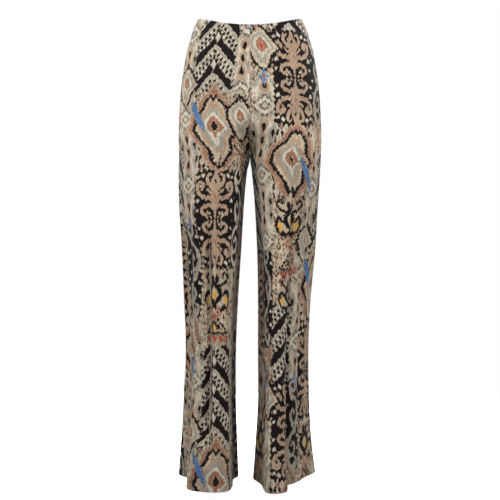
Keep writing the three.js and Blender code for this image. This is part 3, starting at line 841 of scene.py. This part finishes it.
def worked(tree, way, first, second=None, factor=0.0):
    """Sums and the like on one or two outputs, or on an output and a plain factor."""
    links = {0: first} if second is None else {0: first, 1: second}
    return node(tree, "ShaderNodeMath", {1: factor}, links, operation=way).outputs[0]


def blended(tree, share, a, b):
    """Mixes colours. Each of share, a and b is a value or another node's output."""
    values, links = {}, {}
    for socket, source in ((0, share), (6, a), (7, b)):
        (links if isinstance(source, bpy.types.NodeSocket) else values)[socket] = source
    return node(tree, "ShaderNodeMix", values, links, data_type="RGBA").outputs[2]


def knit(tree, shader, cloth, strength, height):
    """Wales and courses of a single jersey as a bump, drawn twice as coarse as real ones to show at all."""
    per_metre = {"Scale": (1 / MM / WALES, 1 / MM / COURSES, 1)}
    wales = node(tree, "ShaderNodeMapping", per_metre, {"Vector": cloth}).outputs["Vector"]
    split = node(tree, "ShaderNodeSeparateXYZ", {}, {"Vector": wales})
    turns = [worked(tree, "MULTIPLY", split.outputs[k], factor=2 * math.pi) for k in "XY"]
    loops = worked(tree, "ADD", *(worked(tree, "SINE", turn) for turn in turns))
    bump = node(tree, "ShaderNodeBump", {"Strength": strength, "Distance": height * MM}, {"Height": loops})
    tree.links.new(bump.outputs["Normal"], shader.inputs["Normal"])


def printed_jersey():
    """Viscose jersey, knitted fine and printed: a soft matt face with a slight bloom, and inks that bled into
    the yarn."""
    material, tree, shader = new_material(
        "printed viscose jersey", Roughness=0.8, Sheen_Weight=0.12, Sheen_Roughness=0.3,
        Specular_IOR_Level=0.12)
    cloth = node(tree, "ShaderNodeUVMap", uv_map="cloth").outputs["UV"]
    bleed = ranged(tree, noise_on(tree, cloth, (1.9, 8.0)), 0.25, 0.75, -BLEED, BLEED)
    wash = ranged(tree, noise_on(tree, cloth, (24, 40)), 0.45, 0.68, 0, 0.7)
    fade = ranged(tree, noise_on(tree, cloth, (60, 75)), 0.5, 0.68, 0, 0.6)
    colour = blended(tree, wash, linear(PALETTE["cream"]), linear(CREAM_WASH))
    colour = blended(tree, fade, colour, linear(CREAM_SHADE))
    for layer, three in INK_LAYERS.items():
        fields = node(tree, "ShaderNodeAttribute", attribute_name=layer).outputs["Vector"]
        split = node(tree, "ShaderNodeSeparateXYZ", {}, {"Vector": fields})
        for axis, ink in zip("XYZ", three):
            bled = worked(tree, "ADD", split.outputs[axis], bleed)
            covered = ranged(tree, bled, -INK_EDGE, INK_EDGE, 0, 1)
            colour = blended(tree, covered, colour, linear(PALETTE[ink]))
    streaks = ranged(tree, noise_on(tree, cloth, (1.6, 13)), 0.3, 0.7, 0.8, 1.12)
    patches = ranged(tree, noise_on(tree, cloth, (30, 45)), 0.3, 0.7, 0.86, 1.08)
    links = {0: colour, "Scale": worked(tree, "MULTIPLY", streaks, patches)}
    toned = node(tree, "ShaderNodeVectorMath", {}, links, operation="SCALE").outputs["Vector"]
    tree.links.new(toned, shader.inputs["Base Color"])
    knit(tree, shader, cloth, 0.25, 0.25)
    return material


def plain_reverse():
    """The jersey's wrong side: undyed ground with a little of the print's tone showing through."""
    material, tree, shader = new_material(
        "jersey wrong side", Roughness=0.9, Sheen_Weight=0.1, Specular_IOR_Level=0.2)
    cloth = node(tree, "ShaderNodeUVMap", uv_map="cloth").outputs["UV"]
    shown = ranged(tree, noise_on(tree, cloth, (18, 30), 3.0), 0.35, 0.65, 0, 1)
    tree.links.new(blended(tree, shown, linear("c3b7a6"), linear("ada192")), shader.inputs["Base Color"])
    knit(tree, shader, cloth, 0.3, 0.3)
    return material


def sewing_thread():
    """Spun polyester thread, matt, in a grey brown that sinks into the print. Its twist is 0.8 mm bands of
    painted shade, darker in the grooves between the plies and lighter on them.
    """
    material, tree, shader = new_material("spun polyester thread", Roughness=0.65, Specular_IOR_Level=0.35)
    place = node(tree, "ShaderNodeTexCoord").outputs["Object"]
    bands = {"Scale": 400.0, "Distortion": 1.0}
    painted_twist_shade = node(tree, "ShaderNodeTexWave", bands, {"Vector": place}, bands_direction="DIAGONAL")
    # Painted shade: the thread's one colour drawn darker in the twist's grooves and lighter on its plies
    colour = blended(tree, painted_twist_shade.outputs["Fac"], linear("5c5148"), linear("867969"))
    tree.links.new(colour, shader.inputs["Base Color"])
    return material


def pale_floor():
    """A matt white painted floor, lifted close to white, with a faint mottle."""
    material, tree, shader = new_material(
        "matt white floor paint", Roughness=0.9, Emission_Strength=0.96, Emission_Color=linear("ffffff"))
    place = node(tree, "ShaderNodeTexCoord").outputs["Object"]
    mottle = node(tree, "ShaderNodeTexNoise", {"Scale": 3.0, "Detail": 3.0}, {"Vector": place}).outputs["Fac"]
    tree.links.new(blended(tree, mottle, linear("f4f4f3"), linear("f8f8f8")), shader.inputs["Base Color"])
    return material


# Floor, light and camera, in metres
IMAGE_PIXELS, PIXEL_SIZE = 500, 2.3  # the photograph's side, and the millimetres that one pixel spans
CAMERA_DISTANCE, CAMERA_HEIGHT = 2.4, -0.528
FLOOR_DROP, FLOOR_RADIUS = 0.03, 1.7
LIGHTS = [  # name, place, aimed at, width, watts
    ("key", (-0.2, -1.6, 1.35), (0, 0, 0), 1.4, 25),
    ("front_left", (-1.85, -1.1, 0.9), (0, 0, -0.1), 1.4, 36),
    ("front_right", (1.85, -1.1, 0.95), (0, 0, -0.1), 1.4, 41),
    ("front_fill", (0, -0.95, -0.42), (0, 0, -0.42), 0.6, 2.7),
    ("back_key", (0.2, 1.6, 1.35), (0, 0, 0), 1.4, 28),
    ("back_left", (-1.85, 1.1, 0.95), (0, 0, -0.1), 1.4, 39),
    ("back_right", (1.85, 1.1, 0.95), (0, 0, -0.1), 1.4, 39),
]


def add_light(name, place, target, width, power):
    data = bpy.data.lights.new(name, "AREA")
    data.shape, data.size, data.energy = "SQUARE", width, power
    lamp = bpy.data.objects.new(name, data)
    lamp.location = place
    lamp.rotation_euler = (Vector(target) - Vector(place)).to_track_quat("-Z", "Y").to_euler()
    lamp.visible_camera = False
    bpy.context.scene.collection.objects.link(lamp)


def add_camera():
    data = bpy.data.cameras.new("camera")
    data.lens = data.sensor_width * CAMERA_DISTANCE / (IMAGE_PIXELS * PIXEL_SIZE * MM)
    camera = bpy.data.objects.new("camera", data)
    camera.location = (0.0, -CAMERA_DISTANCE, CAMERA_HEIGHT)
    camera.rotation_euler = (math.pi / 2, 0, 0)
    bpy.context.scene.collection.objects.link(camera)
    bpy.context.scene.camera = camera


def add_floor(material):
    """A round floor that the camera sees as white and that sends no light back to the cloth."""
    low = Matrix.Translation((0, 0, CAD_BOX[0].z - FLOOR_DROP))
    bm = bmesh.new()
    bmesh.ops.create_circle(bm, cap_ends=True, segments=96, radius=FLOOR_RADIUS, matrix=low)
    floor = piece_from(bm, "floor")
    floor.data.materials.append(material)
    floor.visible_diffuse = False
    floor.visible_glossy = False


def light_the_room():
    """White surroundings that the camera sees, with the light on the cloth coming from the soft boxes."""
    world = bpy.data.worlds.new("studio")
    bpy.context.scene.world = world
    world.use_nodes = True
    world.node_tree.nodes["Background"].inputs["Color"].default_value = linear("ffffff")
    world.cycles_visibility.diffuse = False
    world.cycles_visibility.glossy = False
    bpy.context.scene.view_settings.view_transform = "Standard"
    for light in LIGHTS:
        add_light(*light)


# The part
add_camera()
light_the_room()
add_floor(pale_floor())
printed, unprinted, thread = printed_jersey(), plain_reverse(), sewing_thread()
for panel_name, panel in PANELS.items():
    face = printed_panel(panel_name, panel)
    wrong_side = reverse_panel(panel_name, panel)
    stitches = stitched_rows(panel_name, panel)
    for piece, material in ((face, printed), (wrong_side, unprinted), (stitches, thread)):
        piece.data.materials.append(material)
        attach(piece, "root")
    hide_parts(panel_name)
